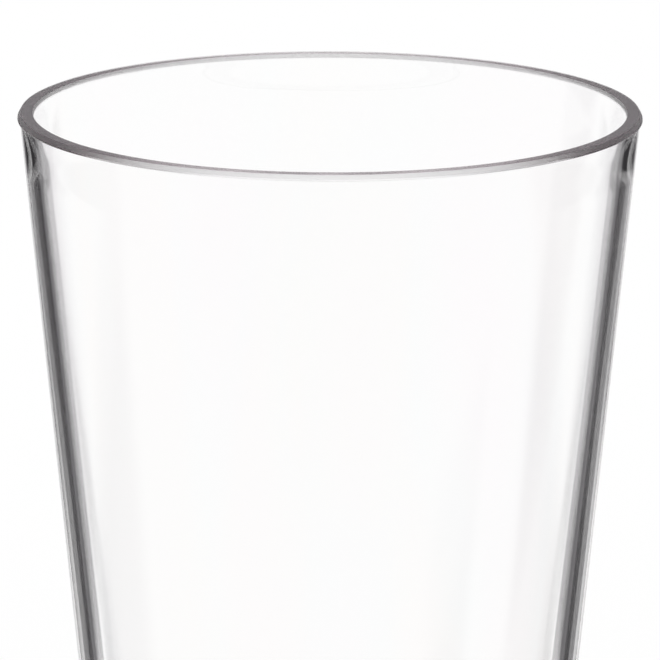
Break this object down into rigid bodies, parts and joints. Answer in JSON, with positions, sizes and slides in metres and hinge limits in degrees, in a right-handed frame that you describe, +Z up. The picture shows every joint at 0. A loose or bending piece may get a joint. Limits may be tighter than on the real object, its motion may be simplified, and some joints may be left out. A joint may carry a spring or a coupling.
{
  "type": "soda glass",
  "caption": "Clear straight-sided tumbler that tapers to its base, with a flat bevelled rim, a fine parting step under the lip and a thick recessed base.",
  "frame": {"origin": "centre of the ring that the tumbler stands on", "axes": "+Z up along the tumbler's axis, from the base to the rim; X and Y are free, because the body is round"},
  "size_m": [0.0894, 0.0894, 0.15],
  "materials": {
    "clear_plastic": "water-clear moulded plastic, polished inside and out"
  },
  "bodies": {
    "root": {"tumbler": "clear_plastic"}
  },
  "joints": []
}
